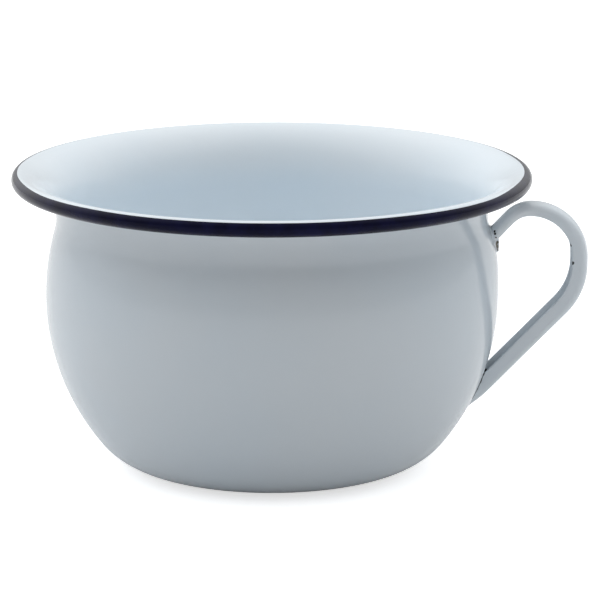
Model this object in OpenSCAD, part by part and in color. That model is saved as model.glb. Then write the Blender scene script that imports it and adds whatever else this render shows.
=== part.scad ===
// Enamelled sheet-steel chamber pot: round belly, flared lip with a rolled rim, one folded strap handle.
// Millimetres, +Z up. The origin is the middle of the base, on the surface that the pot stands on.
// Bowl sizes are finished sizes, over the enamel. The handle lies along +X.

/* [Bowl] */
// Diameter across the rolled rim
rim_d = 230; // [218:1:244]
// Height from the standing surface to the top of the rim
pot_h = 132.5; // [124:0.5:142]
// Diameter at the widest part of the belly
belly_d = 201; // [190:1:212]
// Height of the widest part of the belly
belly_z = 76; // [70:1:82]
// How far the neck is drawn in from the belly, all round
neck_in = 5; // [3:0.5:8]
// Drop from the top of the rim to the neck
neck_drop = 20.9; // [19:0.1:25]
// Radius of the hollow under the neck
hollow_r = 20.3; // [14:0.1:26]
// Diameter of the flat base
base_d = 106; // [92:1:114]
// Radius of the corner between the base and the side
corner_r = 32; // [24:1:36]
// Slope of the lip where it runs into the rim, in degrees
lip_slope = 14; // [8:1:22]

/* [Rolled rim] */
// Diameter of the rim's bead
bead_d = 7; // [5.6:0.1:8.4]
// How far the edge of the sheet is rolled round, in degrees
curl_turn = 270; // [210:5:280]
// Least clearance between the back of the curl and the wall
curl_gap = 0.3; // [0.1:0.1:0.6]
// Where the navy coat starts, in degrees above the outermost line of the bead
navy_start = 72; // [55:1:85]

/* [Sheet and enamel] */
// Thickness of the bowl's sheet
sheet_t = 0.6; // [0.5:0.05:0.9]
// Thickness of the enamel on each face
enamel_t = 0.25; // [0.15:0.05:0.35]
// Thickness of the handle's strip
strap_t = 0.6; // [0.5:0.05:0.9]

/* [Handle] */
// Width of the handle
handle_w = 14; // [11:0.5:18]
// Depth of the channel at the upper end
depth_top = 5; // [4.6:0.1:6.5]
// Depth of the channel at the lower end
depth_low = 7.9; // [6:0.1:9]
// Rounding between the channel's back and its sides
shoulder_bend = 2.6; // [2:0.1:3.2]
// Radius of the crown across the channel's back
crown_r = 16; // [12:1:30]
// Room for fingers between the belly and the handle
finger_gap = 32.4; // [28:0.1:40]
// Drop from the top of the rim to the inner edge of the arch
arch_drop = 20.3; // [17:0.1:24]
// Bend of the arch on the side of the pot
root_bend_r = 10; // [8:0.1:14]
// Bend of the arch on the outer side
arch_bend_r = 18.8; // [15:0.1:21]
// Straight stretch of the grip
grip_len = 2.9; // [2:0.1:10]
// Bend from the grip into the lower leg
low_bend_r = 25.2; // [20:0.1:29]
// Slope of the arch where it leaves the pot, in degrees
root_slope = 46.5; // [38:0.5:50]
// Height on the wall where the inner edge of the lower leg ends
foot_z = 40.4; // [36:0.1:45]

/* [Tongue and welds] */
// How far the tongue reaches below the channel's upper end
tongue_drop = 4.7; // [4:0.1:9]
// Radius of the tongue's tip
tongue_tip_r = 1.6; // [1.2:0.1:2.2]
// Margin of each weld inside the outline of the strip above it
weld_margin = 0.4; // [0.3:0.05:0.5]
// Height of the lower weld
low_weld_h = 14; // [8:1:16]
// Clearance between the handle and the wall's enamel
seat_gap = 0.05; // [0.02:0.01:0.1]

/* [Hidden] */
// Degrees to a step on the wall, on the bead and along the handle's bends
wall_step = 4;
bead_step = 10;
bend_step = 7.5;
// Points on each flange of the handle, on the bend beside it and on half of the crown
flange_steps = 4;
bend_steps = 5;
crown_steps = 2;
// Halvings of a span when a point on it is searched for
halvings = 30;
// Length of the leg beyond its foot, before the wall's seat trims it
leg_spare = 30;
$fn = 96;

// Depths below the finished outside: steel outside, steel inside, finished inside
steel_out = enamel_t;
steel_in = enamel_t + sheet_t;
wall_t = 2 * enamel_t + sheet_t;

// Unit vector at an angle, in the plane of the profile
function dir(a) = [cos(a), sin(a)];
function reversed(p) = [for (i = [len(p) - 1:-1:0]) p[i]];
// Points on an arc; skip = 1 leaves out the first one
function arc(c, r, a0, a1, step, skip = 0) =
    let (n = max(1, ceil(abs(a1 - a0) / step)))
    [for (i = [skip:n]) c + r * dir(a0 + (a1 - a0) * i / n)];

// The wall's outside is a chain of tangent arcs: corner, side, shoulder and hollow, then the lip
corner_c = [base_d / 2, corner_r];
side_run = (belly_d - base_d) / 2;
side_r = (side_run ^ 2 + (belly_z - corner_r) ^ 2 - corner_r ^ 2) / (2 * (side_run - corner_r));
side_c = [belly_d / 2 - side_r, belly_z];
corner_a = atan2(corner_c[1] - side_c[1], corner_c[0] - side_c[0]);
bead_c = [(rim_d - bead_d) / 2, pot_h - bead_d / 2];
curl_r = bead_d / 2 - wall_t;
neck_x = belly_d / 2 - neck_in;
neck_z = pot_h - neck_drop;
neck_turn = 2 * atan(neck_in / (neck_z - belly_z));
shoulder_r = (neck_z - belly_z) / sin(neck_turn) - hollow_r;
shoulder_c = [belly_d / 2 - shoulder_r, belly_z];
hollow_c = [neck_x + hollow_r, neck_z];
lip_a = 90 + lip_slope;
// The lip is part of an ellipse: upright at the neck, and at its own slope where the bead begins
lip_size = bead_c + curl_r * dir(lip_a) - [neck_x, neck_z];
lip_climb = lip_size[0] * tan(lip_slope);
lip_turn = acos(lip_climb / (lip_size[1] - lip_climb));
lip_axes = [lip_size[0] / (1 - cos(lip_turn)), lip_size[1] / sin(lip_turn)];
function lip(e) =
    let (n = ceil(lip_turn / wall_step))
    [for (i = [1:n]) let (t = lip_turn * i / n, inward = [-cos(t) / lip_axes[0], sin(t) / lip_axes[1]])
        [neck_x + lip_axes[0] * (1 - cos(t)), neck_z + lip_axes[1] * sin(t)] + e * inward / norm(inward)];

// Outside radius of the wall at a height below the rim
corner_z = corner_c[1] + corner_r * sin(corner_a);
shoulder_z = belly_z + shoulder_r * sin(neck_turn);
function wall_r(z) =
    z < corner_z ? corner_c[0] + sqrt(corner_r ^ 2 - (corner_r - max(z, 0)) ^ 2)
    : z < belly_z ? side_c[0] + sqrt(side_r ^ 2 - (z - belly_z) ^ 2)
    : z < shoulder_z ? shoulder_c[0] + sqrt(shoulder_r ^ 2 - (z - belly_z) ^ 2)
    : z < neck_z ? hollow_c[0] - sqrt(hollow_r ^ 2 - (neck_z - z) ^ 2)
    : neck_x + lip_axes[0] * (1 - sqrt(1 - ((z - neck_z) / lip_axes[1]) ^ 2));
// The curl ends at its own turn, or earlier where its back would come to the wall
function curl_end(a0, a1, n) =
    let (a = (a0 + a1) / 2, p = bead_c + bead_d / 2 * dir(a))
    n == 0 ? a1 : p[0] > wall_r(p[1]) + curl_gap ? curl_end(a, a1, n - 1) : curl_end(a0, a, n - 1);
curl_a = curl_end(-90, lip_a - curl_turn, halvings);

// Profile from the middle of the base to the rim, at a depth below the finished outside
function wall(e) = concat(
    [[0, e]],
    arc(corner_c, corner_r - e, -90, corner_a, wall_step),
    arc(side_c, side_r - e, corner_a, 0, wall_step, 1),
    arc(shoulder_c, shoulder_r - e, 0, neck_turn, wall_step, 1),
    arc(hollow_c, hollow_r + e, 180 + neck_turn, 180, wall_step, 1),
    lip(e));
// The bead at the same depth: its white part up to the navy coat, then its navy part
function white_bead(e) = arc(bead_c, curl_r + e, lip_a, navy_start, bead_step, 1);
function navy_bead(e, skip = 0) = arc(bead_c, curl_r + e, navy_start, curl_a, bead_step, skip);
// A face at a depth from the base to the navy coat, and on to the rolled edge
function lining(e) = concat(wall(e), white_bead(e));
function face(e) = concat(lining(e), navy_bead(e, 1));
// A shell of revolution between two depths of the wall
module wall_layer(e0, e1) {
    rotate_extrude() polygon(concat(wall(e0), reversed(wall(e1))));
}
// All that lies inside the handle's seat on the wall
module inside_seat() {
    rotate_extrude() polygon(concat(wall(-seat_gap), [[0, pot_h]]));
}

// Handle: the inner edge runs up from the wall, over the arch, down the grip and along the leg
grip_x = belly_d / 2 + finger_gap;
arch_z = pot_h - arch_drop;
arch_x = grip_x - arch_bend_r;
low_z = arch_z - arch_bend_r - grip_len;
low_c = [grip_x - low_bend_r, low_z];
// The leg is the line from its foot on the wall that touches the low bend
leg_reach = low_c - [wall_r(foot_z), foot_z];
leg_slope = atan2(leg_reach[1], leg_reach[0]) - asin(low_bend_r / norm(leg_reach));
// Stations on a bend: place and heading; the bend turns clockwise
function bend(c, r, a0, a1) =
    let (n = ceil((a0 - a1) / bend_step))
    [for (i = [0:n]) let (a = a0 + (a1 - a0) * i / n) [c + r * dir(a), a - 90]];
stations = concat(
    bend([arch_x, arch_z - root_bend_r], root_bend_r, 90 + root_slope, 90),
    bend([arch_x, arch_z - arch_bend_r], arch_bend_r, 90 - bend_step, 0),
    bend(low_c, low_bend_r, 0, leg_slope - 90));
leg_heading = leg_slope - 180;

// The channel deepens from the upper end to the lower end
function depth_at(heading) =
    let (f = (root_slope - heading) / (root_slope - leg_heading))
    depth_top + (depth_low - depth_top) * f * f * (3 - 2 * f);
// Middle of the strip across the channel: points [across, out] with the direction that faces outwards
strip_half = strap_t / 2 + enamel_t;
mid_w = handle_w / 2 - strip_half;
crown_a = asin((mid_w - shoulder_bend) / (crown_r - shoulder_bend));
// One half of it, from the flange's edge to the middle of the crown
function half_midline(depth) =
    let (top = depth - strip_half,
         bend_c = [shoulder_bend - mid_w, top - crown_r + (crown_r - shoulder_bend) * cos(crown_a)],
         crown_c = [0, top - crown_r],
         bend_end = 90 + crown_a)
    concat(
        [for (i = [0:flange_steps - 1])
            [[-mid_w, strip_half + (bend_c[1] - strip_half) * i / flange_steps], 180]],
        [for (i = [0:bend_steps - 1]) let (a = 180 + (bend_end - 180) * i / bend_steps)
            [bend_c + shoulder_bend * dir(a), a]],
        [for (i = [0:crown_steps - 1]) let (a = bend_end + (90 - bend_end) * i / crown_steps)
            [crown_c + crown_r * dir(a), a]]);
function midline(depth) =
    let (half = half_midline(depth))
    concat(half, [[[0, depth - strip_half], 90]],
           [for (p = reversed(half)) [[-p[0][0], p[0][1]], 180 - p[1]]]);
// Degrees round each edge of the strip, on each side of its middle
edge_round = [20, 55];
// Section of the strip with a half thickness: outer face, then inner face, with rounded edges
function section(half, depth) =
    let (m = midline(depth), l = m[0][0], r = m[len(m) - 1][0])
    concat(
        [for (b = edge_round) l + half * dir(270 - b)],
        [for (p = m) p[0] + half * dir(p[1])],
        [for (b = reversed(edge_round)) r + half * dir(270 + b)],
        [for (b = edge_round) r + half * dir(270 - b)],
        [for (p = reversed(m)) p[0] - half * dir(p[1])],
        [for (b = reversed(edge_round)) l + half * dir(270 + b)]);
// A point [across, out] of the section, and the whole section, at a station
function place(s, p) = [s[0][0] - p[1] * sin(s[1]), p[0], s[0][1] + p[1] * cos(s[1])];
function ring(half, s) = [for (p = section(half, depth_at(s[1]))) place(s, p)];
// Slides a point along a heading until it meets the wall, at a gap over the enamel
function halve(q, d, gap, t0, t1, n) =
    let (t = (t0 + t1) / 2, p = q + t * d, out = norm([p[0], p[1]]) > wall_r(p[2]) + gap)
    n == 0 ? p : out ? halve(q, d, gap, t, t1, n - 1) : halve(q, d, gap, t0, t, n - 1);
function meets(q, heading, gap, reach) =
    halve(q, [cos(heading), 0, sin(heading)], gap, 0, reach, halvings);
// The two ends: the arch runs down into the tongue, and the leg into the wall, where its seat trims it
arch_end = stations[0];
leg_end = stations[len(stations) - 1];
arch_heading = root_slope - 180;
arch_len = (arch_end[0][0] - base_d / 2) / cos(root_slope);
leg_len = norm(leg_end[0] - [wall_r(foot_z), foot_z]);
function leg_tip(half) = [leg_end[0] + (leg_len + leg_spare + half) * dir(leg_heading), leg_heading];
function rings(half) = concat(
    [[for (q = ring(half, arch_end)) meets(q, arch_heading, seat_gap + strap_t / 2, arch_len)]],
    [for (s = concat(stations, [leg_tip(half)])) ring(half, s)]);
// Height on the wall under the arch's end, at a distance out from the channel's inner edge
function arch_foot(out) = meets(place(arch_end, [0, out]), arch_heading, 0, arch_len)[2];

// Triangles between two closed loops of n points that start at indices a and b
function band(a, b, n) =
    [for (k = [0:n - 1]) let (j = (k + 1) % n) each [[a + k, b + j, b + k], [a + k, a + j, b + j]]];
// A solid swept through the rings, each end closed across the strip
module sweep(r) {
    n = len(r[0]);
    last = (len(r) - 1) * n;
    sides = [for (i = [0:len(r) - 2]) each band(i * n, (i + 1) * n, n)];
    ends = [for (k = [0:n / 2 - 2]) let (a = k, b = k + 1, c = n - 2 - k, d = n - 1 - k)
        each [[a, c, b], [a, d, c], [last + a, last + b, last + c], [last + a, last + c, last + d]]];
    polyhedron([for (q = r) each q], concat(sides, ends), convexity = 8);
}

// Tongue across Y and Z: as wide as the strip, from the channel's back down to a round tip
tongue_top = arch_foot(depth_top - enamel_t);
tongue_z = arch_foot(0);
tongue_tip_c = [0, tongue_z - tongue_drop + tongue_tip_r];
strip_w = handle_w - 2 * enamel_t;
module tongue_outline(grow) {
    half = strip_w / 2 + grow;
    top_r = shoulder_bend + strap_t / 2 + grow;
    top_c = [half - top_r, tongue_top + grow - top_r];
    tip_r = tongue_tip_r + grow;
    corner = [half, tongue_z] - tongue_tip_c;
    tip_a = atan2(corner[1], corner[0]) - acos(tip_r / norm(corner));
    polygon(concat(
        arc(top_c, top_r, 0, 90, bead_step),
        arc([-top_c[0], top_c[1]], top_r, 90, 180, bead_step),
        [[-half, tongue_z]],
        arc(tongue_tip_c, tip_r, -180 - tip_a, tip_a, bead_step),
        [[half, tongue_z]]));
}
// Lower weld across Y and Z, under the flanges of the leg
module low_weld_outline() {
    w = strip_w - 2 * weld_margin;
    translate([-w / 2, foot_z - weld_margin - low_weld_h]) square([w, low_weld_h]);
}
// A prism of an outline through the wall on the handle's side
module through_wall() {
    rotate([90, 0, 90]) linear_extrude(grip_x) children();
}

module bowl_pressing() {
    color("dimgray") rotate_extrude()
        polygon(concat(face(steel_out), reversed(face(steel_in))));
}

module outer_enamel() {
    color("lightsteelblue") difference() {
        wall_layer(0, steel_out);
        through_wall() tongue_outline(-weld_margin);
        through_wall() low_weld_outline();
    }
}

module inner_enamel() {
    color("aliceblue") rotate_extrude()
        polygon(concat(lining(steel_in), reversed(lining(wall_t))));
}

module rim_enamel() {
    color("midnightblue") rotate_extrude()
        polygon(concat(navy_bead(steel_in), reversed(navy_bead(wall_t))));
}

// The strip with a coat on it: the channel trimmed by its seat, and the tongue at its upper end
module strip(coat) {
    difference() {
        sweep(rings(strap_t / 2 + coat));
        inside_seat();
    }
    intersection() {
        wall_layer(-seat_gap, -seat_gap - strap_t - coat);
        through_wall() tongue_outline(coat);
    }
}

module handle_strap() {
    color("slategray") strip(0);
}

module handle_enamel() {
    color("lightsteelblue") difference() {
        strip(enamel_t);
        strip(0);
    }
}

// A weld fills a window in the outer coat, from the bowl's steel to the strip's seat
module weld() {
    color("darkgray") intersection() {
        wall_layer(steel_out, -seat_gap);
        through_wall() children();
    }
}

module upper_weld() {
    weld() tongue_outline(-weld_margin);
}

module lower_weld() {
    weld() low_weld_outline();
}

bowl_pressing();
outer_enamel();
inner_enamel();
rim_enamel();
handle_strap();
handle_enamel();
upper_weld();
lower_weld();
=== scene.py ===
import bpy
import math
import numpy as np
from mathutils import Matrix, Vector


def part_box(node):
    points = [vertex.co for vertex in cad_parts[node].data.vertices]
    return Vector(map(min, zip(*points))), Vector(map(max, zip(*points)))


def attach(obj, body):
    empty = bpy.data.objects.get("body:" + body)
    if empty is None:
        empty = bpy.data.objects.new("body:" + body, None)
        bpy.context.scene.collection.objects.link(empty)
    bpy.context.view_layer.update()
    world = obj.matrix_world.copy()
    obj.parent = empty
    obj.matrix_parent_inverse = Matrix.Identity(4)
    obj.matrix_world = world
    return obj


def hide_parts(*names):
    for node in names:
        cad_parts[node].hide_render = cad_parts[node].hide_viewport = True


# Enamelled chamber pot: smooth coats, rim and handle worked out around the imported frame.
# Piece sizes are in millimetres, meshes in metres.

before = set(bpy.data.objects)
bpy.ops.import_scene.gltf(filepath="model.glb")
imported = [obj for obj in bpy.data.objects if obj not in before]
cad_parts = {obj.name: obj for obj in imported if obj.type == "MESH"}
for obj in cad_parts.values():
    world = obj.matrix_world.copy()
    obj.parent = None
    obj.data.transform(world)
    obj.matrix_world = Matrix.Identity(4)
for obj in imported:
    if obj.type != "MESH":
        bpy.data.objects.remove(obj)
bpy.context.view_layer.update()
mm = 0.001
print("frame loaded:", sorted(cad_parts))


# Grid helpers

def unitDir(deg):  # cosine and sine of each angle, as rows
    a = np.radians(np.asarray(deg, float))
    return np.stack([np.cos(a), np.sin(a)], axis=-1)


def arcRows(center, radius, a0, a1, count):  # points on an arc: centre plus radius times the direction
    return np.asarray(center, float) + radius * unitDir(np.linspace(a0, a1, count))


def smoothStep(t):  # three t squared minus two t cubed, held at 0 and 1
    t = np.clip(t, 0, 1)
    return t * t * (3 - 2 * t)


def smoothRise(value, low, high):  # smooth step from 0 at the low value to 1 at the high one
    return smoothStep((value - low) / (high - low))


def rootOf(value):  # square root, 0 for what is below zero
    return np.sqrt(np.maximum(value, 0))


def gridQuads(rows, cols, wrapRows):  # quads between neighbouring rows, columns always wrap
    i = np.arange(rows if wrapRows else rows - 1)[:, None]
    j = np.arange(cols)[None, :]
    i2 = (i + 1) % rows
    j2 = (j + 1) % cols
    return np.stack([i * cols + j, i * cols + j2, i2 * cols + j2, i2 * cols + j], axis=-1).reshape(-1, 4)


def poleFans(rows, cols, firstPole, lastPole):  # triangles that close a grid at a point on each end
    j = np.arange(cols)
    j2 = (j + 1) % cols
    end = (rows - 1) * cols
    low = np.stack([np.full(cols, firstPole), j2, j], axis=-1)
    high = np.stack([end + j, end + j2, np.full(cols, lastPole)], axis=-1)
    return np.concatenate([low, high])


def signedVolume(points, tris):  # sum of the tetrahedra from the origin
    a, b, c = (points[tris[:, k]] for k in range(3))
    return np.einsum("ij,ij->i", a, np.cross(b, c)).sum() / 6


def joinShells(shells):  # stacks closed shells, each turned to face outwards
    points, quads, tris, start = [], [], [], 0
    for p, q, t in shells:
        halves = np.concatenate([q[:, [0, 1, 2]], q[:, [0, 2, 3]], t])
        if signedVolume(p, halves) < 0:
            q = q[:, ::-1]
            t = t[:, ::-1]
        points.append(p)
        quads.append(q + start)
        tris.append(t + start)
        start += len(p)
    return np.concatenate(points), np.concatenate(quads), np.concatenate(tris)


def addPiece(name, shells, material, nodes, attributes=None):
    points, quads, tris = joinShells(shells)
    mesh = bpy.data.meshes.new(name)
    mesh.from_pydata((points * mm).tolist(), [], quads.tolist() + tris.tolist())
    mesh.shade_smooth()
    for key, values in (attributes or {}).items():
        layer = mesh.attributes.new(key, "FLOAT", "POINT")
        layer.data.foreach_set("value", np.asarray(values, np.float32))
    mesh.materials.append(material)
    piece = bpy.data.objects.new(name, mesh)
    bpy.context.scene.collection.objects.link(piece)
    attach(piece, "root")
    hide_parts(*nodes)
    print(name, "has", len(points), "points and", 2 * len(quads) + len(tris), "triangles")


# Bowl wall: the sizes that its coats, its sheet and its rim share

bowl = dict(
    bellyD=201.0, bellyZ=76.0, neckIn=5.0, neckDrop=20.9, hollowR=20.3, baseD=106.0, cornerR=32.0,
    lipSlope=14.0, beadD=7.0, curlTurn=270.0, sheetT=0.6, enamelT=0.25, segments=240, baseRows=12,
    cornerRows=22, sideRows=26, shoulderRows=12, hollowRows=9, lipRows=26, curlRows=44)
bowl["rimD"] = round(2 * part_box("rim_enamel")[1].x / mm, 1)
bowl["potH"] = round(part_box("inner_enamel")[1].z / mm, 1)

steelOut = bowl["enamelT"]
steelIn = steelOut + bowl["sheetT"]
wallT = steelIn + bowl["enamelT"]
cornerC = np.array([bowl["baseD"] / 2, bowl["cornerR"]])
sideRun = (bowl["bellyD"] - bowl["baseD"]) / 2
sideR = ((sideRun ** 2 + (bowl["bellyZ"] - bowl["cornerR"]) ** 2 - bowl["cornerR"] ** 2)
         / (2 * (sideRun - bowl["cornerR"])))
sideC = np.array([bowl["bellyD"] / 2 - sideR, bowl["bellyZ"]])
cornerA = math.degrees(math.atan2(*(cornerC - sideC)[::-1]))
beadC = np.array([bowl["rimD"] - bowl["beadD"], 2 * bowl["potH"] - bowl["beadD"]]) / 2
curlR = bowl["beadD"] / 2 - wallT
neckX = bowl["bellyD"] / 2 - bowl["neckIn"]
neckZ = bowl["potH"] - bowl["neckDrop"]
neckTurn = 2 * math.degrees(math.atan(bowl["neckIn"] / (neckZ - bowl["bellyZ"])))
shoulderR = (neckZ - bowl["bellyZ"]) / math.sin(math.radians(neckTurn)) - bowl["hollowR"]
shoulderC = np.array([bowl["bellyD"] / 2 - shoulderR, bowl["bellyZ"]])
hollowC = np.array([neckX + bowl["hollowR"], neckZ])
lipA = 90 + bowl["lipSlope"]
curlA = lipA - bowl["curlTurn"]
lipSize = beadC + curlR * unitDir(lipA) - [neckX, neckZ]
lipClimb = lipSize[0] * math.tan(math.radians(bowl["lipSlope"]))
lipTurn = math.degrees(math.acos(lipClimb / (lipSize[1] - lipClimb)))
lipAxes = lipSize / (1 - math.cos(math.radians(lipTurn)), math.sin(math.radians(lipTurn)))


def lipRows(depth):  # part of an ellipse, moved in along its own normal
    t = np.radians(np.linspace(0, lipTurn, bowl["lipRows"]))
    inward = np.stack([-np.cos(t) / lipAxes[0], np.sin(t) / lipAxes[1]], axis=-1)
    inward /= np.linalg.norm(inward, axis=1)[:, None]
    face = np.stack([neckX + lipAxes[0] * (1 - np.cos(t)), neckZ + lipAxes[1] * np.sin(t)], axis=-1)
    return face + depth * inward


def wallRows(depth):  # profile from beside the axis to the bead: flat, corner, side, shoulder, hollow, lip
    base = np.linspace(0, bowl["baseD"] / 2, bowl["baseRows"])[1:-1]
    return np.concatenate([
        np.stack([base, np.full(len(base), depth)], axis=-1),
        arcRows(cornerC, bowl["cornerR"] - depth, -90, cornerA, bowl["cornerRows"]),
        arcRows(sideC, sideR - depth, cornerA, 0, bowl["sideRows"])[1:],
        arcRows(shoulderC, shoulderR - depth, 0, neckTurn, bowl["shoulderRows"])[1:],
        arcRows(hollowC, bowl["hollowR"] + depth, 180 + neckTurn, 180, bowl["hollowRows"])[1:],
        lipRows(depth)[1:]])


def wallRadius(z):  # outside radius at a height, from the same arcs
    cornerZ = cornerC[1] + bowl["cornerR"] * math.sin(math.radians(cornerA))
    shoulderZ = bowl["bellyZ"] + shoulderR * math.sin(math.radians(neckTurn))
    lift = z - bowl["bellyZ"]
    return np.select(
        [z < cornerZ, z < bowl["bellyZ"], z < shoulderZ, z < neckZ],
        [cornerC[0] + rootOf(bowl["cornerR"] ** 2 - (bowl["cornerR"] - np.maximum(z, 0)) ** 2),
         sideC[0] + rootOf(sideR ** 2 - lift ** 2),
         shoulderC[0] + rootOf(shoulderR ** 2 - lift ** 2),
         hollowC[0] - rootOf(bowl["hollowR"] ** 2 - (neckZ - z) ** 2)],
        neckX + lipAxes[0] * (1 - rootOf(1 - ((z - neckZ) / lipAxes[1]) ** 2)))


# Around the handle's tongue the wall is drawn out a little: a bell in angle and in height

swell = dict(height=0.85, middle=95.0, spread=13.0, arc=22.0)


def wallSwell(angle, z):
    aside = np.arctan2(np.sin(angle), np.cos(angle)) / math.radians(swell["arc"])
    return swell["height"] * np.exp(-aside ** 2 - ((z - swell["middle"]) / swell["spread"]) ** 2)


phi = np.arange(bowl["segments"]) * 2 * np.pi / bowl["segments"]


def spinRows(rows):  # radius and height at each row, carried round the axis
    shape = (len(rows), len(phi))
    return np.broadcast_to(rows[:, :1], shape), np.broadcast_to(rows[:, 1:], shape)


def spinPoints(r, z):  # x is r cos phi, y is r sin phi
    return np.stack([r * np.cos(phi), r * np.sin(phi), z], axis=-1)


def poledShell(r, z, z0, z1):  # a surface of revolution from the axis out and back to the axis
    grid = spinPoints(r, z).reshape(-1, 3)
    rows = len(r)
    points = np.concatenate([grid, [[0, 0, z0], [0, 0, z1]]])
    return points, gridQuads(rows, len(phi), False), poleFans(rows, len(phi), len(grid), len(grid) + 1)


def ringShell(r, z):  # a closed section carried round the axis
    return spinPoints(r, z).reshape(-1, 3), gridQuads(len(r), len(phi), True), np.zeros((0, 3), int)


def beadPoints(radius, angle):  # on the bead's circle, angle in degrees above its outermost line
    a = np.radians(angle)
    return beadC[0] + radius * np.cos(a), beadC[1] + radius * np.sin(a)


# The hand of the press: each coat wanders by a few hundredths from a true circle. A wave is a count round the
# wall, a height, a phase, and a turn for each millimetre up the wall.

press = dict(growH=40.0, waves=[(2, 0.045, 0.7, 0.0), (3, 0.03, 1.9, 1 / 60), (7, 0.012, 0.4, -1 / 25)])


def unevenness(z):  # slow sine waves round the wall, none at the base, and the swell at the handle
    waves = sum(height * np.sin(count * phi + phase + turn * z)
                for count, height, phase, turn in press["waves"])
    return smoothStep(z / press["growH"]) * waves + wallSwell(phi, z)


# Rim: where the navy coat starts, in degrees up the bead, dipped by hand. The line lies low along the front
# with one dip at the front right, a little higher at the back, and climbs to the crest at the two sides.
# Spans are of the sine or cosine round the pot.

rim = dict(
    front=58.5, back=14.0, backSpan=(-0.2, 0.6), right=32.0, rightSpan=(0.82, 1), left=18.0,
    leftSpan=(0.84, 1), dip=8.0, dipAt=-44.0, dipWide=13.0, waver=1.6, waverCounts=range(4, 26), seed=11,
    edgeT=0.12, rise=6.0, lap=1.0, overlap=5.0, recess=0.07, ease=14.0, underGap=0.02, fadeH=8.0,
    whiteRows=16, navyRows=40, navyCrowd=1.6)
dipping = np.random.default_rng(rim["seed"])
harmonics = [(k, dipping.normal(0, rim["waver"] / k), dipping.uniform(0, 2 * np.pi))
             for k in rim["waverCounts"]]
fromDip = (np.degrees(phi) - rim["dipAt"] + 180) % 360 - 180
navyStart = (rim["front"] + rim["back"] * smoothRise(np.sin(phi), *rim["backSpan"])
             + rim["right"] * smoothRise(np.cos(phi), *rim["rightSpan"])
             + rim["left"] * smoothRise(-np.cos(phi), *rim["leftSpan"])
             - rim["dip"] * np.exp(-(fromDip / rim["dipWide"]) ** 2)
             + sum(a * np.sin(k * phi + b) for k, a, b in harmonics))
print("navy starts between", navyStart.min().round(1), "and", navyStart.max().round(1), "degrees")


# Materials

noiseSpan = (0.3, 0.7)     # where most of a noise's values lie


def addNode(tree, kind, inputs=None, **settings):
    node = tree.nodes.new(kind)
    for key, value in settings.items():
        setattr(node, key, value)
    for key, value in (inputs or {}).items():
        if isinstance(value, bpy.types.NodeSocket):
            tree.links.new(value, node.inputs[key])
        else:
            node.inputs[key].default_value = value
    return node


def mathNode(tree, operation, a, b=0.0, clamp=False):
    return addNode(tree, "ShaderNodeMath", {0: a, 1: b}, operation=operation, use_clamp=clamp).outputs[0]


def rangeNode(tree, value, low, high, toLow=0.0, toHigh=1.0):
    spans = {"Value": value, "From Min": low, "From Max": high, "To Min": toLow, "To Max": toHigh}
    return addNode(tree, "ShaderNodeMapRange", spans, interpolation_type="SMOOTHSTEP").outputs["Result"]


def noiseNode(tree, coord, scale, detail=2.0, rough=0.5):
    return addNode(tree, "ShaderNodeTexNoise",
                   {"Vector": coord, "Scale": scale, "Detail": detail, "Roughness": rough}).outputs["Fac"]


def attributeNode(tree, name):
    return addNode(tree, "ShaderNodeAttribute", attribute_name=name).outputs["Fac"]


def mixColors(tree, factor, a, b):  # inputs 6 and 7 and output 2 are the Mix node's colours
    return addNode(tree, "ShaderNodeMix", {0: factor, 6: a, 7: b}, data_type="RGBA").outputs[2]


def addBump(tree, shader, height, distance):
    bump = addNode(tree, "ShaderNodeBump", {"Height": height, "Strength": 1.0, "Distance": distance})
    tree.links.new(bump.outputs[0], shader.inputs["Normal"])


def newMaterial(name):
    material = bpy.data.materials.new(name)
    material.use_nodes = True
    tree = material.node_tree
    tree.nodes.clear()
    shader = tree.nodes.new("ShaderNodeBsdfPrincipled")
    output = tree.nodes.new("ShaderNodeOutputMaterial")
    tree.links.new(shader.outputs[0], output.inputs["Surface"])
    coord = tree.nodes.new("ShaderNodeTexCoord").outputs["Object"]
    return material, tree, shader, coord


# Marks in the white: chips and pinholes down to the dark ground coat, and edges with brown wear. Along the
# near side of the handle's tongue, that brown line is also painted shade in the crevice at the foot of its
# rounded edge.
# A chip's ragged edge lies between two shares of its radius.

groundCoat = (0.012, 0.011, 0.014, 1.0)
wornAndShadeColor = (0.085, 0.075, 0.05, 1.0)
chipEdge = dict(scale=900.0, inner=1.35, outer=1.6)


def chipMask(tree, coord, chips):  # 1 inside any chip: noisy distance to its middle under its radius
    wobble = noiseNode(tree, coord, chipEdge["scale"], detail=3.0, rough=0.6)
    mask = None
    for x, y, z, radius in chips:
        away = addNode(tree, "ShaderNodeVectorMath", {0: coord, 1: (x * mm, y * mm, z * mm)},
                       operation="DISTANCE").outputs["Value"]
        ragged = mathNode(tree, "ADD", away, mathNode(tree, "MULTIPLY", wobble, radius * mm))
        low = radius * chipEdge["inner"] * mm
        high = radius * chipEdge["outer"] * mm
        inside = rangeNode(tree, ragged, low, high, 1.0, 0.0)
        mask = inside if mask is None else mathNode(tree, "MAXIMUM", mask, inside)
    return mask


def pinMask(tree, coord, look):  # 1 in a rare pinhole: distance to a cell's middle under its own random size
    cells = addNode(tree, "ShaderNodeTexVoronoi", {"Vector": coord, "Scale": look["pinScale"]}).outputs
    draw = addNode(tree, "ShaderNodeSeparateColor", {0: cells["Color"]}).outputs[0]
    size = mathNode(tree, "SUBTRACT", mathNode(tree, "MULTIPLY", draw, look["pinSize"]),
                    look["pinSize"] * look["pinRare"])
    outside = mathNode(tree, "SUBTRACT", cells["Distance"], size)
    return rangeNode(tree, outside, 0.0, look["pinSoft"], 1.0, 0.0)


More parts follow.
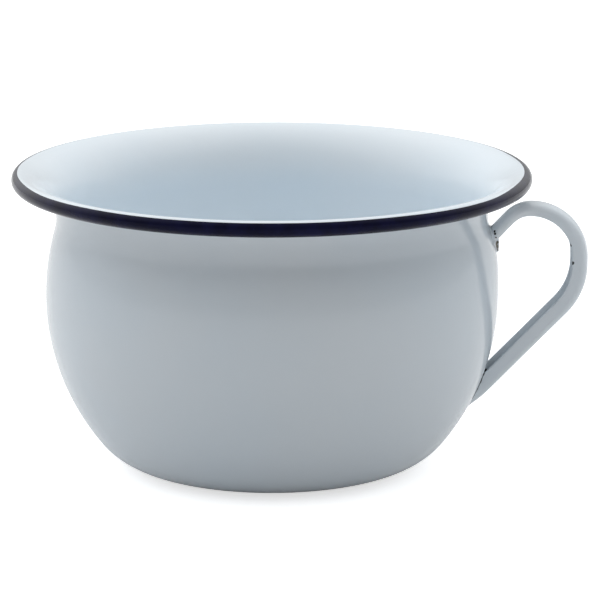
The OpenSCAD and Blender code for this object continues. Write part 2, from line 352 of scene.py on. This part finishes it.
def whiteEnamel(name, look):
    material, tree, shader, coord = newMaterial(name)
    broad = noiseNode(tree, coord, look["toneScale"], detail=3.0)
    color = mixColors(tree, rangeNode(tree, broad, *noiseSpan), look["cool"], look["warm"])
    # painted light: a whiter tone mixed in where the handle's attribute asks for it
    if look["paintedLight"]:
        color = mixColors(tree, attributeNode(tree, "paintedLight"), color, look["paintedLight"])
    marks = pinMask(tree, coord, look)
    if look["chips"]:
        marks = mathNode(tree, "MAXIMUM", marks, chipMask(tree, coord, look["chips"]))
    if look["bareSpan"]:
        grain = noiseNode(tree, coord, look["bareScale"], detail=3.0, rough=0.6)
        bare = mathNode(tree, "ADD", attributeNode(tree, "bare"), grain)
        marks = mathNode(tree, "MAXIMUM", marks, rangeNode(tree, bare, *look["bareSpan"]))
    # brown wear, and on the tongue's near side painted crevice shade too
    if look["wornAndShadeSpan"]:
        rubAndShade = noiseNode(tree, coord, look["wornAndShadeScale"], detail=3.0, rough=0.6)
        wornAndShade = mathNode(tree, "MULTIPLY", attributeNode(tree, "wornAndShade"), rubAndShade)
        color = mixColors(tree, rangeNode(tree, wornAndShade, *look["wornAndShadeSpan"]), color, wornAndShadeColor)
    tree.links.new(mixColors(tree, marks, color, groundCoat), shader.inputs["Base Color"])
    sheen = noiseNode(tree, coord, look["glossScale"], detail=3.0)
    gloss = rangeNode(tree, sheen, *noiseSpan, *look["rough"])
    dull = mathNode(tree, "MULTIPLY", marks, look["markRough"])
    tree.links.new(mathNode(tree, "MAXIMUM", gloss, dull), shader.inputs["Roughness"])
    peel = mathNode(tree, "MULTIPLY", noiseNode(tree, coord, look["peelScale"]), look["peel"])
    slow = mathNode(tree, "MULTIPLY", noiseNode(tree, coord, look["slowScale"], detail=1.0), look["slow"])
    pits = mathNode(tree, "MULTIPLY", marks, look["markDepth"])
    addBump(tree, shader, mathNode(tree, "SUBTRACT", mathNode(tree, "ADD", peel, slow), pits), look["bumpH"])
    shader.inputs["IOR"].default_value = look["ior"]
    return material


def navyEnamel(name, look):
    material, tree, shader, coord = newMaterial(name)
    cloud = noiseNode(tree, coord, look["cloudScale"], detail=4.0, rough=0.6)
    color = mixColors(tree, rangeNode(tree, cloud, *look["cloudSpan"]), look["deep"], look["thin"])
    tree.links.new(color, shader.inputs["Base Color"])
    scuff = noiseNode(tree, coord, look["scuffScale"], detail=4.0, rough=0.7)
    tree.links.new(rangeNode(tree, scuff, *look["scuffSpan"], *look["rough"]), shader.inputs["Roughness"])
    addBump(tree, shader, noiseNode(tree, coord, look["peelScale"], detail=3.0), look["bumpH"])
    shader.inputs["IOR"].default_value = look["ior"]
    shader.inputs["Specular Tint"].default_value = look["face"]
    return material


def darkSteel(name, look):  # steel under a thin dark ground coat, with a rolled grain
    material, tree, shader, coord = newMaterial(name)
    stretch = addNode(tree, "ShaderNodeMapping", {"Vector": coord, "Scale": look["grainStretch"]}).outputs[0]
    grain = noiseNode(tree, stretch, look["grainScale"], detail=4.0, rough=0.6)
    cloud = noiseNode(tree, coord, look["cloudScale"], detail=3.0)
    blend = mathNode(tree, "MULTIPLY", rangeNode(tree, grain, *noiseSpan),
                     rangeNode(tree, cloud, *look["cloudSpan"]))
    tree.links.new(mixColors(tree, blend, look["dark"], look["pale"]), shader.inputs["Base Color"])
    tree.links.new(rangeNode(tree, grain, *noiseSpan, *look["rough"]), shader.inputs["Roughness"])
    addBump(tree, shader, grain, look["bumpH"])
    shader.inputs["Metallic"].default_value = look["metal"]
    return material


# Looks: a bump's height is in metres, and a chip is x, y, z and radius

# The whites are one enamel at three lightnesses. The outer coat is painted darker as painted shade. The inner
# coat is painted much lighter as painted light. The handle is lighter than the outer coat, with a still
# whiter tone mixed in, also as painted light.
shadedOuterLook = dict(
    cool=(0.578, 0.641, 0.697, 1), warm=(0.598, 0.649, 0.694, 1), toneScale=14.0, rough=(0.09, 0.13),
    glossScale=55.0, peel=1.0, peelScale=210.0, slow=3.0, slowScale=38.0, bumpH=0.00003, ior=1.5,
    pinScale=70.0, pinSize=0.05, pinRare=0.985, pinSoft=0.012, markRough=0.4, markDepth=3.0,
    paintedLight=None, bareSpan=None, wornAndShadeSpan=None, chips=[(13.2, -90.0, 30.8, 0.34)])
litInnerLook = dict(shadedOuterLook, cool=(0.815, 0.890, 0.948, 1), warm=(0.835, 0.897, 0.945, 1), chips=[])
litHandleLook = dict(
    shadedOuterLook, cool=(0.672, 0.734, 0.789, 1), warm=(0.692, 0.742, 0.787, 1), paintedLight=(0.90, 0.94, 0.97, 1),
    pinRare=0.99, bareScale=700.0, bareSpan=(0.92, 1.08), wornAndShadeScale=600.0, wornAndShadeSpan=(0.3, 0.46),
    chips=[(131.5, -7.0, 98.9, 0.95), (133.0, -7.0, 91.0, 0.85),     # inner edge of the near flange
           (97.4, 0.2, 106.4, 1.3), (98.4, -6.0, 105.4, 0.6),        # where the arch meets the wall
           (98.6, -6.7, 104.3, 0.55), (99.0, -6.95, 102.7, 0.35),    # down the near side of that joint
           (95.8, 5.9, 38.8, 0.8)])                                  # in the leg's cut end
navyLook = dict(
    deep=(0.0012, 0.0014, 0.011, 1), thin=(0.004, 0.0045, 0.030, 1), cloudScale=90.0, cloudSpan=(0.35, 0.7),
    rough=(0.1, 0.3), scuffScale=420.0, scuffSpan=(0.45, 0.75), peelScale=260.0, bumpH=0.00005,
    face=(0.2, 0.2, 0.3, 1), ior=1.42)
sheetLook = dict(
    dark=(0.02, 0.02, 0.024, 1), pale=(0.11, 0.11, 0.115, 1), rough=(0.3, 0.5), metal=0.6, grainScale=900.0,
    grainStretch=(1.0, 1.0, 0.12), cloudScale=120.0, cloudSpan=(0.2, 0.8), bumpH=0.00002)
weldLook = dict(
    sheetLook, dark=(0.012, 0.011, 0.012, 1), pale=(0.06, 0.05, 0.045, 1), rough=(0.4, 0.6), metal=0.3)

shadedOuterWhite = whiteEnamel("shadedOuterWhite", shadedOuterLook)
litInnerWhite = whiteEnamel("litInnerWhite", litInnerLook)
litHandleWhite = whiteEnamel("litHandleWhite", litHandleLook)
rimNavy = navyEnamel("rimNavy", navyLook)
sheetSteel = darkSteel("sheetSteel", sheetLook)
weldSteel = darkSteel("weldSteel", weldLook)
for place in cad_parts["lower_weld"].material_slots:
    place.material = weldSteel
print("materials ready")


# Outer coat: the wall's outside, round its upper edge and back along the steel

def makeOuterCoat():
    r, z = spinRows(np.concatenate([wallRows(0), wallRows(steelOut)[::-1]]))
    shell = poledShell(r + unevenness(z), z, 0, steelOut)
    addPiece("outerEnamel", [shell], shadedOuterWhite, ["outer_enamel"])


# Inner coat: along the steel, over the lip, under the edge of the navy coat, and back along the inside.
# On the bead its radius is the finished radius less a recess that grows towards the navy coat.

def makeInnerCoat():
    steps = np.linspace(0, 1, rim["whiteRows"])[1:, None]
    angle = lipA + (navyStart - rim["overlap"] - lipA) * steps
    recess = rim["recess"] * smoothStep((navyStart + rim["ease"] - angle) / (rim["ease"] + rim["overlap"]))
    underR, underZ = beadPoints(curlR + steelIn + rim["underGap"], angle)
    topR, topZ = beadPoints(curlR + wallT - recess, angle)
    steelR, steelZ = spinRows(wallRows(steelIn))
    faceR, faceZ = spinRows(wallRows(wallT))
    r = np.concatenate([steelR, underR, topR[::-1], faceR[::-1]])
    z = np.concatenate([steelZ, underZ, topZ[::-1], faceZ[::-1]])
    r = r + unevenness(z) * smoothStep((beadC[1] - z) / rim["fadeH"])
    addPiece("innerEnamel", [poledShell(r, z, steelIn, wallT)], litInnerWhite, ["inner_enamel"])


# Navy coat: from its wavering start to the rolled edge, its own edge rising out of the white

def makeNavyCoat():
    steps = np.linspace(0, 1, rim["navyRows"])[:, None] ** rim["navyCrowd"]
    edge = navyStart + rim["lap"]
    angle = edge + (curlA - edge) * steps
    rise = np.clip((edge - angle) / rim["rise"], 0, 1)
    topR, topZ = beadPoints(curlR + wallT - rim["edgeT"] * (1 - rise) ** 2, angle)
    underR, underZ = beadPoints(curlR + steelIn, angle)
    r = np.concatenate([topR, underR[::-1]])
    z = np.concatenate([topZ, underZ[::-1]])
    addPiece("rimEnamel", [ringShell(r, z)], rimNavy, ["rim_enamel"])


# Sheet of the bowl: between the coats, rolled round the bead

def makeBowlSheet():
    angle = np.linspace(lipA, curlA, bowl["curlRows"])[1:, None] + 0 * phi
    faces = []
    for depth in (steelOut, steelIn):
        wallR, wallZ = spinRows(wallRows(depth))
        beadR, beadZ = beadPoints(curlR + depth, angle)
        faces.append((np.concatenate([wallR, beadR]), np.concatenate([wallZ, beadZ])))
    (outR, outZ), (inR, inZ) = faces
    r = np.concatenate([outR, inR[::-1]])
    z = np.concatenate([outZ, inZ[::-1]])
    shell = poledShell(r + wallSwell(phi, z), z, steelOut, steelIn)
    addPiece("bowlSheet", [shell], sheetSteel, ["bowl_pressing"])


makeOuterCoat()
makeInnerCoat()
makeNavyCoat()
makeBowlSheet()


# Handle: a channel with its open side to the pot, swept over the arch, down the grip and along the leg.
# Painted light: the coat is painted whiter on the outside of the arch, where the rim shades it. It is also
# painted whiter on the inner sides of the channel towards the flanges' edges, growing along the handle to
# full on the leg, which leaves the channel darker deeper in as painted shade. The arch's span is of the way
# along the bends, the flange's span of the way into the channel.

handle = dict(
    width=14.0, depthTop=5.0, depthLow=7.9, shoulderBend=2.6, crownR=16.0, fingerGap=32.4, archDrop=20.3,
    rootBendR=10.0, archBendR=18.8, gripLen=2.9, lowBendR=25.2, rootSlope=46.5, footZ=40.4, stripT=0.6,
    cutGap=0.3, endFlat=1.25, endLen=17.0, outerFillet=0.9, innerFillet=2.6, filletSpan=(-0.4, 0.4),
    rootSunk=0.15, bareCut=2.2, bareMost=0.9, paintedLightArch=(0.05, 0.45), paintedLightFlange=(0.3, 0.65),
    slideReach=110.0, halvings=48, bendStep=2.0, flangeRows=9, bendRows=11, crownRows=9, edgeRows=9,
    legRows=46, legCrowd=1.7, rootRows=12)
gripX = bowl["bellyD"] / 2 + handle["fingerGap"]
archZ = bowl["potH"] - handle["archDrop"]
archX = gripX - handle["archBendR"]
lowC = np.array([gripX - handle["lowBendR"], archZ - handle["archBendR"] - handle["gripLen"]])
footR = float(wallRadius(np.array(handle["footZ"])))
legReach = lowC - [footR, handle["footZ"]]
legSlope = (math.degrees(math.atan2(legReach[1], legReach[0]))
            - math.degrees(math.asin(handle["lowBendR"] / np.linalg.norm(legReach))))
legHeading = legSlope - 180
rootHeading = handle["rootSlope"] - 180
stripHalf = handle["stripT"] / 2 + bowl["enamelT"]


def bendStations(center, radius, a0, a1):  # places on a bend that turns clockwise, and headings there
    count = math.ceil((a0 - a1) / handle["bendStep"]) + 1
    angle = np.linspace(a0, a1, count)
    return np.column_stack([np.asarray(center) + radius * unitDir(angle), angle - 90])


pathRows = np.concatenate([
    bendStations([archX, archZ - handle["rootBendR"]], handle["rootBendR"], 90 + handle["rootSlope"], 90),
    bendStations([archX, archZ - handle["archBendR"]], handle["archBendR"], 90, 0)[1:],
    bendStations(lowC, handle["lowBendR"], 0, legSlope - 90)])


def channelMidline():  # rows of across, out at no depth, share of the depth, and angle of the outward side
    midW = handle["width"] / 2 - stripHalf
    bendR = handle["shoulderBend"]
    crownR = handle["crownR"]
    crownA = math.degrees(math.asin((midW - bendR) / (crownR - bendR)))
    bendOut = -stripHalf - crownR + (crownR - bendR) * math.cos(math.radians(crownA))
    t = np.arange(handle["flangeRows"]) / handle["flangeRows"]
    flangeOut = stripHalf + (bendOut - stripHalf) * t
    flange = np.column_stack([np.full(len(t), -midW), flangeOut, t, np.full(len(t), 180.0)])
    a = np.linspace(180, 90 + crownA, handle["bendRows"], endpoint=False)
    turn = np.column_stack([np.array([bendR - midW, bendOut]) + bendR * unitDir(a), np.ones(len(a)), a])
    a = np.linspace(90 + crownA, 90, handle["crownRows"], endpoint=False)
    crown = np.column_stack([np.array([0, -stripHalf - crownR]) + crownR * unitDir(a), np.ones(len(a)), a])
    left = np.concatenate([flange, turn, crown])
    top = [[0, -stripHalf, 1, 90]]
    return np.concatenate([left, top, left[::-1] * [-1, 1, 1, -1] + [0, 0, 0, 180]])


def edgeTurn(row, angles):  # one place on the strip's middle, with each of the outward angles
    return np.column_stack([np.repeat(row[None, :3], len(angles), 0), angles])


def channelLoop():  # outer face, right edge, inner face, left edge: middle of the strip and its outward angle
    m = channelMidline()
    turn = 90 * np.arange(1, handle["edgeRows"]) / handle["edgeRows"]
    return np.concatenate([
        edgeTurn(m[0], 180 + turn[::-1]), m, edgeTurn(m[-1], -turn),
        edgeTurn(m[-1], turn[::-1] - 180), m[::-1] + [0, 0, 0, 180], edgeTurn(m[0], 360 - turn)])


loop = channelLoop()


# The loop at a station of x, z and heading: the strip's middle plus half its thickness along the outward
# angle, stood out by the channel's depth there less a cut
def channelRing(row, half, cut=0.0):
    x, z, heading = row
    share = (handle["rootSlope"] - heading) / (handle["rootSlope"] - legHeading)
    depth = handle["depthTop"] + (handle["depthLow"] - handle["depthTop"]) * smoothStep(share) - cut
    across, out = (loop[:, :2] + np.reshape(half, (-1, 1)) * unitDir(loop[:, 3])).T
    out = out + loop[:, 2] * depth
    lean = math.radians(heading)
    return np.column_stack([x - out * math.sin(lean), across, z + out * math.cos(lean)])


def slideToWall(ring, heading, gap):  # how far each point goes along the heading to stand a gap off the wall
    step = np.array([math.cos(math.radians(heading)), 0, math.sin(math.radians(heading))])
    near = np.zeros(len(ring))
    far = np.full(len(ring), handle["slideReach"])
    for _ in range(handle["halvings"]):
        middle = (near + far) / 2
        p = ring + middle[:, None] * step
        wall = wallRadius(p[:, 2]) + wallSwell(np.arctan2(p[:, 1], p[:, 0]), p[:, 2])
        outside = np.hypot(p[:, 0], p[:, 1]) > wall + gap
        near = np.where(outside, middle, near)
        far = np.where(outside, far, middle)
    return near, step


# Straight along the leg to the cut beside the wall: a share of each point's run, crowded towards the cut.
# Over the last stretch the ring goes over to one with a flatter crown.
def legRings(half):
    full = channelRing(pathRows[-1], half)
    flat = channelRing(pathRows[-1], half, handle["endFlat"])
    fullRun, step = slideToWall(full, legHeading, handle["cutGap"])
    flatRun = slideToWall(flat, legHeading, handle["cutGap"])[0]
    share = (1 - (1 - np.linspace(0, 1, handle["legRows"])[1:]) ** handle["legCrowd"])[:, None]
    blend = smoothStep(1 - (1 - share) * fullRun.mean() / handle["endLen"])
    run = fullRun + (flatRun - fullRun) * blend
    ring = full + (flat - full) * blend[..., None]
    return ring + (share * run)[..., None] * step, run * (1 - share)


def rootRings():  # back from the arch to the wall; the coat thickens there in a quarter-round fillet
    inward = smoothRise(np.cos(np.radians(loop[:, 3] + 90)), *handle["filletSpan"])
    fillet = handle["outerFillet"] + (handle["innerFillet"] - handle["outerFillet"]) * inward
    rings = []
    for turn in np.linspace(0, 90, handle["rootRows"]):
        lift = fillet * (1 - math.sin(math.radians(turn)))
        extra = fillet * (1 - math.cos(math.radians(turn)))
        ring = channelRing(pathRows[0], stripHalf + extra)
        run, step = slideToWall(ring, rootHeading, -handle["rootSunk"])
        rings.append(ring + (run - lift)[:, None] * step)
    return np.stack(rings[::-1])


def stripShell(rings):  # a solid through the rings, each end closed across the strip's thickness
    rows, cols = rings.shape[:2]
    k = np.arange(cols // 2 - 1)
    cap = np.stack([k, k + 1, cols - 2 - k, cols - 1 - k], axis=-1)
    quads = np.concatenate([gridQuads(rows, cols, False), cap[:, ::-1], cap + (rows - 1) * cols])
    return rings.reshape(-1, 3), quads, np.zeros((0, 3), int)


# Tongue: a thin plate on the wall under the arch, upright where the wall leans in. Outside its outline a
# skirt of enamel rises as the square of the way up; inside it the edge is a quarter round, then flat.
# The lists of rows are shares of the way up the skirt, over the rounded edge and across the flat.

tongue = dict(
    drop=5.6, tipR=1.85, topR=3.1, proud=0.95, round=0.7, sunk=0.15, straight=1.4, weldInset=0.9,
    skirtTip=0.3, skirtTop=1.3, skirtShare=0.4, skirtRows=(0, 0.05, 0.3, 0.5, 0.7, 0.85, 1.0),
    bendRows=(0.05, 0.15, 0.3, 0.5, 0.75, 1.0), flatRows=(0.8, 0.5, 0.25), tipRows=9, taperRows=10,
    sideRows=7, topRows=9, plateRows=6, wornAndShadeSkirt=(0.45, 0.85), wornAndShadeSide=0.6, wornAndShadeFrom=0.2, wornAndShadeRise=0.8,
    wornAndShadeEnd=7.4, wornAndShadeFade=1.5)


def archFoot(out):  # height on the wall under the arch's end, at a distance out from the channel's inner edge
    x, z, heading = pathRows[0]
    lean = math.radians(heading)
    start = np.array([[x - out * math.sin(lean), 0, z + out * math.cos(lean)]])
    run, step = slideToWall(start, rootHeading, 0)
    return float((start + run[:, None] * step)[0, 2])


def tongueOutline(inset):  # across and up: round tip, taper, upright sides and round top corners
    halfW = handle["width"] / 2 - inset
    sideZ = archFoot(0)
    topC = np.array([halfW - tongue["topR"], archFoot(handle["depthTop"]) - tongue["topR"] - inset])
    tipC = np.array([0, sideZ - tongue["drop"] + tongue["tipR"]])
    tipR = tongue["tipR"] - inset
    reach = np.array([halfW, sideZ]) - tipC
    tipA = math.degrees(math.atan2(reach[1], reach[0]) - math.acos(tipR / np.linalg.norm(reach)))
    tip = arcRows(tipC, tipR, -90, tipA, tongue["tipRows"])
    taper = np.linspace(tip[-1], [halfW, sideZ], tongue["taperRows"])
    side = np.linspace([halfW, sideZ], [halfW, topC[1]], tongue["sideRows"])
    top = arcRows(topC, tongue["topR"], 0, 90, tongue["topRows"])
    half = np.concatenate([tip[:-1], taper[:-1], side[:-1], top, [[0, topC[1] + tongue["topR"]]]])
    return np.concatenate([half, half[-2:0:-1] * [-1, 1]])


def tongueWall(y, z):  # radius of the wall under the tongue
    return wallRadius(z) + wallSwell(y / wallRadius(z), z)


def plateShell(r, y, z, ends):  # rows of points at a radius from the axis, closed at a point on each end
    grid = np.stack([np.sqrt(r ** 2 - y ** 2), y, z], axis=-1).reshape(-1, 3)
    points = np.concatenate([grid, ends])
    return points, gridQuads(*y.shape, False), poleFans(*y.shape, len(grid), len(grid) + 1)


def tongueShell():  # the plate, and how far each point has brown wear and painted crevice shade: the foot of the rounded edge on its near side
    outline = tongueOutline(0)
    tipZ = outline[:, 1].min()
    middle = np.array([0, (tipZ + outline[:, 1].max()) / 2])
    spoke = np.linalg.norm(outline - middle, axis=1)
    climb = smoothStep((outline[:, 1] - tipZ) / tongue["drop"])
    skirt = tongue["skirtTip"] + (tongue["skirtTop"] - tongue["skirtTip"]) * climb
    up, bend, flat = (np.array(tongue[rows])[:, None] for rows in ("skirtRows", "bendRows", "flatRows"))
    share = np.concatenate([1 + (1 - up) * skirt / spoke, 1 - bend * tongue["round"] / spoke,
                            flat * (1 - tongue["round"] / spoke)])
    foot = tongue["proud"] * tongue["skirtShare"]
    edge = foot + (tongue["proud"] - foot) * np.sqrt(1 - (1 - bend) ** 2)
    height = np.concatenate([foot * up ** 2, edge, np.full(flat.shape, tongue["proud"])])
    y, z = np.moveaxis(middle + share[..., None] * (outline - middle), -1, 0)
    wall = tongueWall(y, z)
    lean = np.clip(tongueWall(0, tipZ) - wall, 0, tongue["straight"])
    r = wall + height * (1 + lean / tongue["proud"])
    r[0] = wall[0] - tongue["sunk"]
    ends = [[tongueWall(0, middle[1]) - tongue["sunk"], 0, middle[1]], [r[-1].mean(), 0, middle[1]]]
    lift = z - tipZ
    # brown wear and painted crevice shade where the skirt meets the rounded edge, on the near side only
    rubAndShade = np.concatenate([smoothRise(up, *tongue["wornAndShadeSkirt"]), 1 - bend ** 2, 0 * flat])
    wornAndShade = rubAndShade * smoothStep(-y / tongue["wornAndShadeSide"])
    wornAndShade = wornAndShade * smoothStep((lift - tongue["wornAndShadeFrom"]) / tongue["wornAndShadeRise"])
    wornAndShade = wornAndShade * smoothStep((tongue["wornAndShadeEnd"] - lift) / tongue["wornAndShadeFade"])
    return plateShell(r, y, z, ends), np.concatenate([wornAndShade.ravel(), np.zeros(len(ends))])


def wallPlate(inset, low, high):  # the tongue's outline drawn in by rows, at two distances off the wall
    outline = tongueOutline(inset)
    middle = np.array([0, (outline[:, 1].min() + outline[:, 1].max()) / 2])
    share = np.linspace(0, 1, tongue["plateRows"])[1:]
    share = np.concatenate([share, share[::-1]])[:, None]
    y, z = np.moveaxis(middle + share[..., None] * (outline - middle), -1, 0)
    r = tongueWall(y, z) + np.repeat([low, high], len(share) // 2)[:, None]
    ends = [[tongueWall(0, middle[1]) + off, 0, middle[1]] for off in (low, high)]
    return plateShell(r, y, z, ends)


# Coat of the handle: how bare it is at each point, how far it has brown wear with painted crevice shade, and
# how much painted light it carries

def makeHandle():
    leg, away = legRings(stripHalf)
    root = rootRings()
    middle = np.stack([channelRing(row, stripHalf) for row in pathRows])
    rings = np.concatenate([root, middle, leg])
    bare = np.zeros(rings.shape[:2])
    bare[-len(leg):] = handle["bareMost"] * np.clip(1 - away / handle["bareCut"], 0, 1)
    along = np.concatenate([np.zeros(len(root)), np.linspace(0, 1, len(middle)), np.ones(len(leg))])[:, None]
    inside = np.repeat([0.0, 1.0], len(loop) // 2)
    flange = 1 - smoothRise(loop[:, 2], *handle["paintedLightFlange"])
    arch = 1 - smoothRise(along, *handle["paintedLightArch"])
    arch[:len(root), 0] *= smoothStep(np.linspace(0, 1, len(root)))
    # painted light on the arch's outside and inside the channel near the flanges' edges
    paintedLight = inside * flange * smoothStep(along) + (1 - inside) * arch
    plate, plateWornAndShade = tongueShell()
    plain = np.zeros(len(plate[0]))
    addPiece("handleEnamel", [stripShell(rings), plate], litHandleWhite, ["handle_enamel"],
             {"bare": np.concatenate([bare.ravel(), plain]),
              "wornAndShade": np.concatenate([np.zeros(bare.size), plateWornAndShade]),
              "paintedLight": np.concatenate([paintedLight.ravel(), plain])})


# Steel inside the coat: from the wall over the arch and down to the cut, and the tongue's plate

def makeStrap():
    half = handle["stripT"] / 2
    start = channelRing(pathRows[0], half)
    run, step = slideToWall(start, rootHeading, 0)
    middle = np.stack([channelRing(row, half) for row in pathRows])
    rings = np.concatenate([(start + run[:, None] * step)[None], middle, legRings(half)[0]])
    plate = wallPlate(2 * bowl["enamelT"], 0, handle["stripT"])
    addPiece("handleStrap", [stripShell(rings), plate], sheetSteel, ["handle_strap"])


# Weld between the tongue and the bowl's sheet

def makeUpperWeld():
    plate = wallPlate(tongue["weldInset"], -steelOut, 0)
    addPiece("upperWeld", [plate], weldSteel, ["upper_weld"])


makeHandle()
makeStrap()
makeUpperWeld()


# Floor and light: the floor's size and drop are in metres

studio = dict(
    floorSize=14.0, floorDrop=0.0002, floorAlbedo=0.9, floorGlow=0.65, floorSheen=0.1, backSheen=0.6,
    level=1.8, dark=0.0, bright=1.15, fromAbove=0.65, fromBehind=0.27, fromSides=0.45, fromLeft=0.055,
    tint=(0.985, 0.995, 1.0, 1), white=(1, 1, 1, 1))


def makeFloor():
    half = studio["floorSize"] / 2
    drop = -studio["floorDrop"]
    mesh = bpy.data.meshes.new("floor")
    corners = [(-half, -half, drop), (half, -half, drop), (half, half, drop), (-half, half, drop)]
    mesh.from_pydata(corners, [], [(0, 1, 2, 3)])
    floor = bpy.data.objects.new("floor", mesh)
    bpy.context.scene.collection.objects.link(floor)
    material = bpy.data.materials.new("paleFloor")
    material.use_nodes = True
    tree = material.node_tree
    tree.nodes.clear()
    albedo = studio["floorAlbedo"]
    diffuse = addNode(tree, "ShaderNodeBsdfDiffuse", {"Color": (albedo, albedo, albedo, 1)})
    path = tree.nodes.new("ShaderNodeLightPath").outputs
    seen = mathNode(tree, "ADD", path["Is Camera Ray"], path["Is Transmission Ray"], clamp=True)
    strength = mathNode(tree, "ADD", mathNode(tree, "MULTIPLY", seen, studio["floorGlow"]),
                        mathNode(tree, "MULTIPLY", path["Is Glossy Ray"], studio["floorSheen"]))
    glow = addNode(tree, "ShaderNodeEmission", {"Strength": strength})
    both = addNode(tree, "ShaderNodeAddShader", {0: diffuse.outputs[0], 1: glow.outputs[0]})
    output = tree.nodes.new("ShaderNodeOutputMaterial")
    tree.links.new(both.outputs[0], output.inputs["Surface"])
    mesh.materials.append(material)


# A soft tent: most light from above, less from the sides and from behind, a little more from the left, and
# little from the camera. The camera itself sees it white, and reflections see it no darker than backSheen.

def makeWorld():
    world = bpy.data.worlds.new("studio")
    bpy.context.scene.world = world
    world.use_nodes = True
    tree = world.node_tree
    tree.nodes.clear()
    path = tree.nodes.new("ShaderNodeLightPath").outputs
    sight = tree.nodes.new("ShaderNodeTexCoord").outputs["Generated"]
    way = addNode(tree, "ShaderNodeSeparateXYZ", {0: sight}).outputs
    aside = mathNode(tree, "ABSOLUTE", way["X"])
    lean = mathNode(tree, "MULTIPLY", way["Z"], studio["fromAbove"])
    for side, share in ((way["Y"], "fromBehind"), (aside, "fromSides")):
        lean = mathNode(tree, "ADD", lean, mathNode(tree, "MULTIPLY", side, studio[share]))
    lean = mathNode(tree, "SUBTRACT", lean, mathNode(tree, "MULTIPLY", way["X"], studio["fromLeft"]))
    tent = rangeNode(tree, lean, studio["dark"], studio["bright"], 0.0, studio["level"])
    seen = mathNode(tree, "ADD", path["Is Camera Ray"], path["Is Transmission Ray"], clamp=True)
    mirrored = mathNode(tree, "MULTIPLY", path["Is Glossy Ray"], studio["backSheen"])
    level = mathNode(tree, "MAXIMUM", mathNode(tree, "MAXIMUM", seen, mirrored), tent)
    color = mixColors(tree, seen, studio["tint"], studio["white"])
    background = addNode(tree, "ShaderNodeBackground", {"Color": color, "Strength": level})
    output = tree.nodes.new("ShaderNodeOutputWorld")
    tree.links.new(background.outputs[0], output.inputs["Surface"])


# Camera: in front of the pot, a little above it

view = dict(place=(12.42, -1600.0, 450.2), pitch=13.275, lens=221.36, sensor=36.0)


def makeCamera():
    data = bpy.data.cameras.new("camera")
    data.lens = view["lens"]
    data.sensor_width = view["sensor"]
    data.dof.use_dof = False
    camera = bpy.data.objects.new("camera", data)
    camera.location = [c * mm for c in view["place"]]
    camera.rotation_euler = (math.radians(90 - view["pitch"]), 0, 0)
    bpy.context.scene.collection.objects.link(camera)
    bpy.context.scene.camera = camera


makeFloor()
makeWorld()
makeCamera()
bpy.context.scene.view_settings.view_transform = "Standard"
print("floor, light and camera ready")
